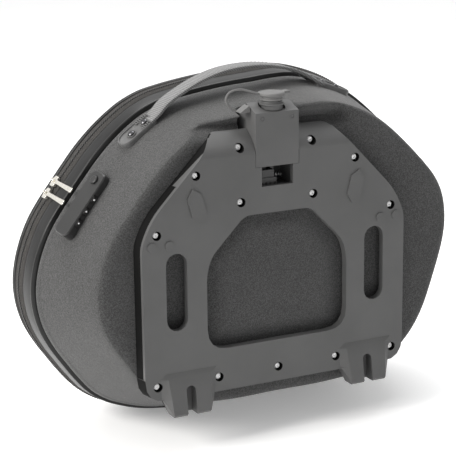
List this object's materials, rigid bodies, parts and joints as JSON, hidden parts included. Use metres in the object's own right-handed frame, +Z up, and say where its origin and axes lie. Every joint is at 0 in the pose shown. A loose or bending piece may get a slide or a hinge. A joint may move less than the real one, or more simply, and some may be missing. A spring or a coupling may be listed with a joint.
{
  "type": "motorcycle saddlebag",
  "caption": "Semi-rigid fabric clamshell saddlebag on a moulded carrier plate, with keyed latch tower, hook feet, carry handle, zip and combination lock.",
  "frame": {"origin": "middle of the footprint at floor level, under the bag standing upright as it hangs on the carrier", "axes": "+X along the bag towards its higher end, +Y from the carrier plate to the outer lid, +Z up"},
  "size_m": [0.4862, 0.2064, 0.3806],
  "materials": {
    "shell_fabric": "fine woven, matte",
    "rim_vinyl": "glossy vinyl piping",
    "zip_tape": "ribbed woven tape",
    "webbing": "woven webbing",
    "moulded_plastic": "fine spark texture",
    "backing_plastic": "matte",
    "dark_screw": "blackened",
    "zinc_screw": "bright zinc",
    "key_metal": "brushed",
    "cam_metal": "plain",
    "latch_plastic": "matte",
    "spring_steel": "bright wire",
    "grey_rubber": "matte",
    "black_rubber": "matte black sealing strip",
    "handle_leather": "grained with edge stitching",
    "rivet_metal": "dark nickel",
    "lock_case": "satin black",
    "lock_dial": "satin black with a bright dot",
    "nickel": "bright nickel"
  },
  "bodies": {
    "bag": {"inner_shell": "shell_fabric", "inner_rim_band": "rim_vinyl", "inner_zip_tape": "zip_tape", "hinge_gusset": "shell_fabric", "lid_stay_left": "webbing", "lid_stay_right": "webbing", "mounting_plate": "moulded_plastic", "plate_gasket_left": "black_rubber", "plate_gasket_right": "black_rubber", "plate_screw_01": "zinc_screw", "plate_screw_02": "zinc_screw", "plate_screw_03": "zinc_screw", "plate_screw_04": "zinc_screw", "plate_screw_05": "zinc_screw", "plate_screw_06": "zinc_screw", "plate_screw_07": "zinc_screw", "plate_screw_08": "zinc_screw", "plate_screw_09": "zinc_screw", "plate_screw_10": "zinc_screw", "plate_screw_11": "zinc_screw", "plate_screw_12": "zinc_screw", "plate_screw_13": "zinc_screw", "backing_plate": "backing_plastic", "tower_housing": "moulded_plastic", "tower_screw_left": "dark_screw", "tower_screw_right": "dark_screw", "lock_collar": "moulded_plastic", "latch_spring": "spring_steel", "tether_anchor": "grey_rubber", "cap_tether": "grey_rubber", "handle_root_left": "handle_leather", "handle_root_right": "handle_leather", "handle_end_left": "handle_leather", "handle_rivet_left_1": "rivet_metal", "handle_rivet_left_2": "rivet_metal", "handle_end_right": "handle_leather", "handle_rivet_right_1": "rivet_metal", "handle_rivet_right_2": "rivet_metal", "combination_lock": "lock_case"},
    "lid": {"outer_shell": "shell_fabric", "outer_rim_band": "rim_vinyl", "outer_zip_tape": "zip_tape"},
    "key": {"key_cylinder": "key_metal", "lock_cam": "cam_metal"},
    "latch": {"latch": "latch_plastic"},
    "key_cap": {"key_cap": "grey_rubber"},
    "handle": {"handle_strap": "handle_leather"},
    "dial_1": {"lock_dial_1": "lock_dial"},
    "dial_2": {"lock_dial_2": "lock_dial"},
    "dial_3": {"lock_dial_3": "lock_dial"},
    "lock_button": {"lock_button": "lock_case"},
    "slider_upper": {"slider_upper": "nickel"},
    "slider_lower": {"slider_lower": "nickel"},
    "pull_upper": {"pull_upper": "nickel"},
    "pull_lower": {"pull_lower": "nickel"}
  },
  "joints": [
    {"name": "lid_open", "type": "hinge", "parent": "bag", "child": "lid", "pos_m": [-0.00544, 0.03985, 0.00003], "axis": [-1, 0, 0], "range_deg": [0, 50], "deforming": ["hinge_gusset", "lid_stay_left", "lid_stay_right"]},
    {"name": "slider_upper_run", "type": "slide", "parent": "bag", "child": "slider_upper", "axis": [0.6259, 0, 0.7799], "range_m": [0, 0.025]},
    {"name": "pull_upper_swing", "type": "hinge", "parent": "slider_upper", "child": "pull_upper", "pos_m": [-0.19878, 0.04075, 0.26794], "axis": [-0.6259, 0, -0.7799], "range_deg": [0, 150]},
    {"name": "slider_lower_run", "type": "slide", "parent": "bag", "child": "slider_lower", "axis": [-0.6161, 0, -0.7877], "range_m": [0, 0.025]},
    {"name": "pull_lower_swing", "type": "hinge", "parent": "slider_lower", "child": "pull_lower", "pos_m": [-0.20813, 0.04075, 0.2562], "axis": [-0.6161, 0, -0.7877], "range_deg": [0, 150]},
    {"name": "dial_1_turn", "type": "hinge", "parent": "bag", "child": "dial_1", "pos_m": [-0.20001, -0.02341, 0.23801], "axis": [-0.7556, -0.2672, 0.5981], "continuous": true},
    {"name": "dial_2_turn", "type": "hinge", "parent": "bag", "child": "dial_2", "pos_m": [-0.19126, -0.02341, 0.24907], "axis": [-0.7556, -0.2672, 0.5981], "continuous": true},
    {"name": "dial_3_turn", "type": "hinge", "parent": "bag", "child": "dial_3", "pos_m": [-0.18251, -0.02341, 0.26012], "axis": [-0.7556, -0.2672, 0.5981], "continuous": true},
    {"name": "lock_button_press", "type": "slide", "parent": "bag", "child": "lock_button", "axis": [0.7556, 0.2672, -0.5981], "range_m": [0, 0.0012], "stiffness_N_per_m": 300, "springref_m": -0.001},
    {"name": "key_turn", "type": "hinge", "parent": "bag", "child": "key", "pos_m": [-0.00544, -0.08025, 0.30133], "axis": [0, 0, -1], "range_deg": [0, 90]},
    {"name": "latch_slide", "type": "slide", "parent": "bag", "child": "latch", "axis": [1, 0, 0], "range_m": [0, 0.0086], "deforming": ["latch_spring"]},
    {"name": "key_cap_lift", "type": "slide", "parent": "bag", "child": "key_cap", "axis": [0, 0, 1], "range_m": [0, 0.02], "deforming": ["cap_tether"]},
    {"name": "handle_tilt", "type": "hinge", "parent": "bag", "child": "handle", "pos_m": [-0.01219, -0.01075, 0.34843], "axis": [0.9943, 0, 0.1063], "range_deg": [-20, 20], "deforming": ["handle_root_left", "handle_root_right"]}
  ],
  "couplings": [
    {"joint": "latch_slide", "follows": "key_turn", "m_per_rad": 0.0054}
  ]
}
